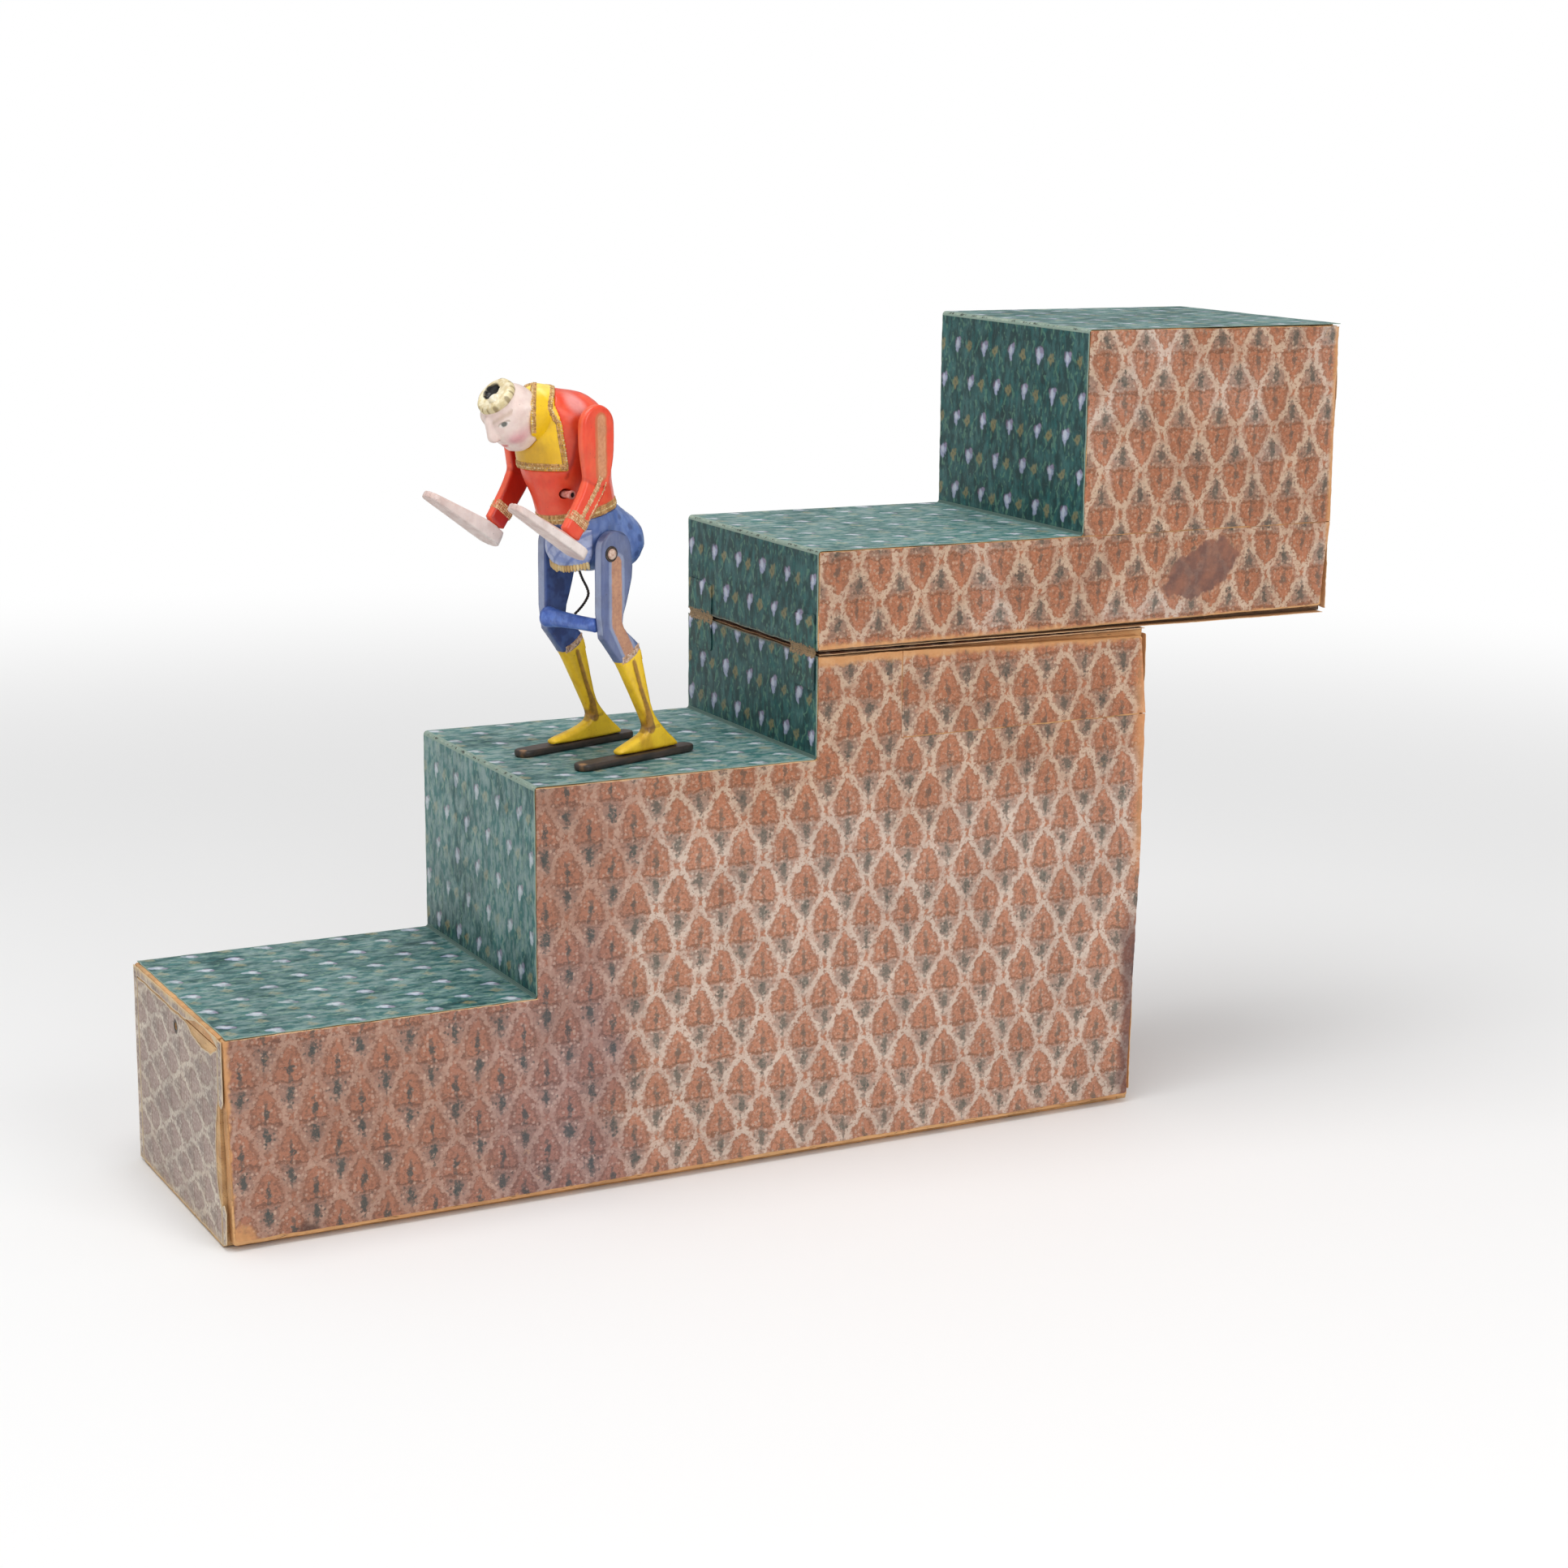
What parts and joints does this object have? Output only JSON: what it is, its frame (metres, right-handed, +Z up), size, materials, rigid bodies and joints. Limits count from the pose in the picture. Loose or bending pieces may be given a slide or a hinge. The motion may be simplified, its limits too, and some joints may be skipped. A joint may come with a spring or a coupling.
{
  "type": "tumbling acrobat toy",
  "caption": "Wooden box papered with block prints that unfolds into a staircase, with a storage drawer and a jointed quicksilver acrobat that tumbles down the steps.",
  "frame": {"origin": "centre of the base's underside, on the table", "axes": "+X up the stairs, +Y across them towards the far side, +Z up"},
  "size_m": [0.3586, 0.0873, 0.24],
  "materials": {
    "case_wood": "bare softwood with worn edges",
    "side_paper": "block-printed terracotta paper",
    "stair_paper": "block-printed green paper",
    "drawer_paper": "mauve-grey printed paper",
    "linen": "frayed linen under paper",
    "blue_paint": "painted",
    "black_paint": "painted",
    "red_paint": "painted",
    "yellow_paint": "painted",
    "flesh_paint": "painted",
    "fringe_paint": "painted with a cream scalloped fringe",
    "pale_peg": "worn bare peg",
    "pin_wood": "plain turned pin",
    "thread": "black silk thread",
    "tube_glass": "clear",
    "cork": "cork",
    "quicksilver": "liquid metal"
  },
  "bodies": {
    "base": {"base_side_near": "case_wood", "base_side_far": "case_wood", "base_floor": "case_wood", "base_end": "case_wood", "tread_1": "case_wood", "riser_2": "case_wood", "tread_2": "case_wood", "riser_3_lower": "case_wood", "column_top": "case_wood", "drawer_guides": "case_wood", "base_paper_near": "side_paper", "base_paper_far": "side_paper", "base_paper_end": "side_paper", "column_top_paper": "side_paper", "stair_paper_lower": "stair_paper", "leaf_lower_near": "linen", "leaf_lower_far": "linen"},
    "drawer": {"drawer_front": "case_wood", "drawer_floor": "case_wood", "drawer_side_near": "case_wood", "drawer_side_far": "case_wood", "drawer_back": "case_wood", "drawer_paper": "drawer_paper"},
    "upper": {"upper_side_near": "case_wood", "upper_side_far": "case_wood", "upper_floor": "case_wood", "riser_3_upper": "case_wood", "tread_3": "case_wood", "riser_4": "case_wood", "tread_4": "case_wood", "upper_end": "case_wood", "upper_paper_near": "side_paper", "upper_paper_far": "side_paper", "upper_paper_end": "side_paper", "upper_paper_under": "side_paper", "stair_paper_upper": "stair_paper", "leaf_upper_near": "linen", "leaf_upper_far": "linen"},
    "legs": {"leg_near": "blue_paint", "leg_far": "blue_paint", "ski_near": "black_paint", "ski_far": "black_paint", "knee_crossbar": "blue_paint", "hip_pin": "pale_peg", "check_thread": "thread"},
    "torso": {"jacket": "red_paint", "trousers_seat": "blue_paint", "apron": "fringe_paint", "yoke": "yellow_paint", "head": "flesh_paint", "crown_plug": "pale_peg", "side_peg": "pale_peg", "quicksilver_tube": "tube_glass", "tube_corks": "cork", "quicksilver": "quicksilver"},
    "arms": {"arm_near": "red_paint", "arm_far": "red_paint", "hand_near": "flesh_paint", "hand_far": "flesh_paint", "shoulder_pin": "pin_wood"}
  },
  "joints": [
    {"name": "stair_fold", "type": "hinge", "parent": "base", "child": "upper", "pos_m": [0.0316, 0, 0.1504], "axis": [0, -1, 0], "range_deg": [0, 180]},
    {"name": "drawer_slide", "type": "slide", "parent": "base", "child": "drawer", "axis": [-1, 0, 0], "range_m": [0, 0.15]},
    {"name": "acrobat_lift", "type": "slide", "parent": "base", "child": "legs", "axis": [0, -1, 0], "range_m": [0, 0.22]},
    {"name": "hip", "type": "hinge", "parent": "legs", "child": "torso", "pos_m": [-0.02892, -0.0128, 0.18035], "axis": [-0.3123, 0.95, 0], "range_deg": [-40, 40], "deforming": ["check_thread"]},
    {"name": "shoulder", "type": "hinge", "parent": "torso", "child": "arms", "pos_m": [-0.03595, -0.01511, 0.21665], "axis": [-0.3123, 0.95, 0], "range_deg": [-10, 200]}
  ],
  "couplings": [
    {"joint": "acrobat_lift", "follows": "stair_fold", "m_per_rad": 0.07}
  ]
}
